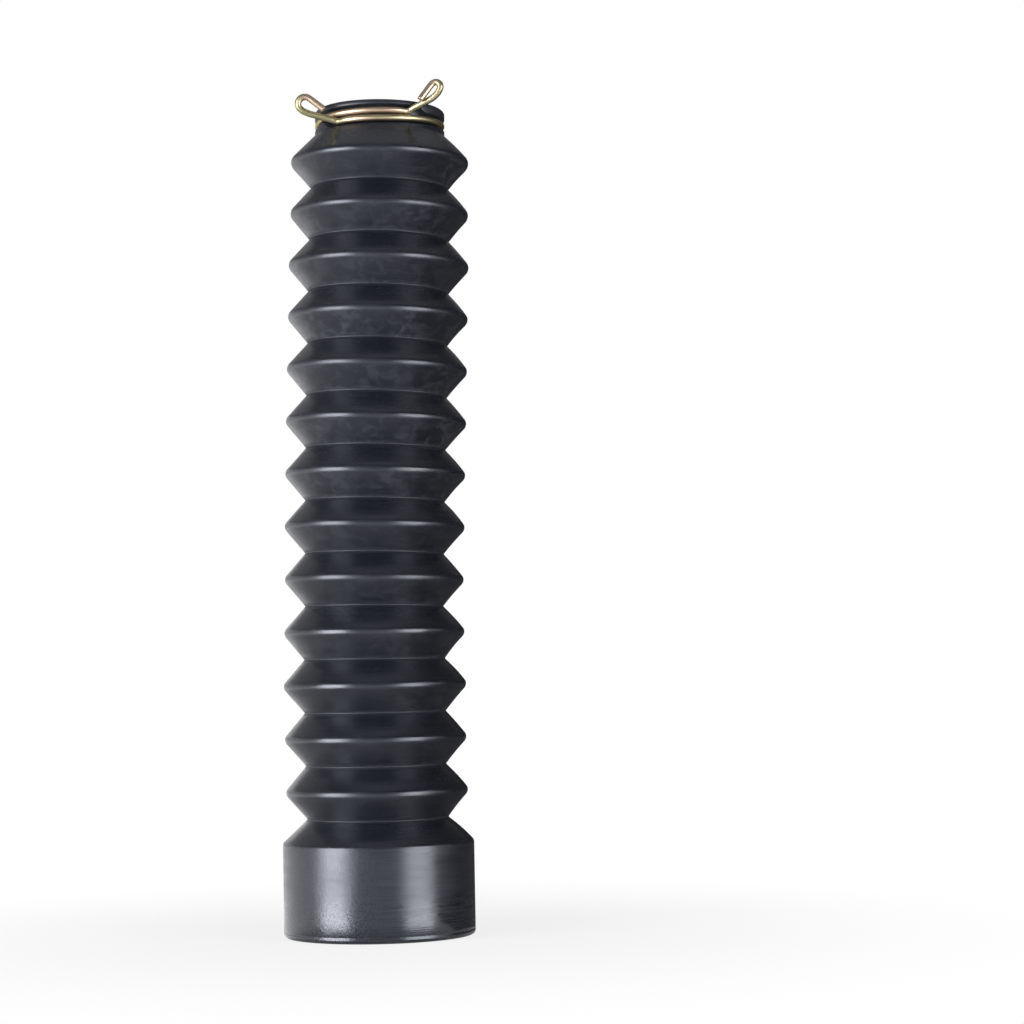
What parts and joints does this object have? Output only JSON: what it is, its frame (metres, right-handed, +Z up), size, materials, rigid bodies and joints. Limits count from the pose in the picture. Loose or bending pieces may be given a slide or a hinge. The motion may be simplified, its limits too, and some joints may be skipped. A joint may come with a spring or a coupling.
{
  "type": "fork gaiter",
  "caption": "Moulded rubber bellows with a plain cuff and a narrow neck, gripped by a sprung wire clip with looped ears; it covers a motorcycle's fork tube.",
  "frame": {"origin": "centre of the cuff's foot, on the plane that the part stands on", "axes": "+Z up the fork tube from the cuff to the neck, -Y towards the front where the clip's ears are, +X to the right"},
  "size_m": [0.0629, 0.061, 0.271],
  "materials": {
    "rubber": "moulded satin, with fine grain and a faint parting line",
    "plated_wire": "yellow-passivated zinc plating"
  },
  "bodies": {
    "root": {"rubber_gaiter": "rubber", "wire_clip": "plated_wire"}
  },
  "joints": []
}
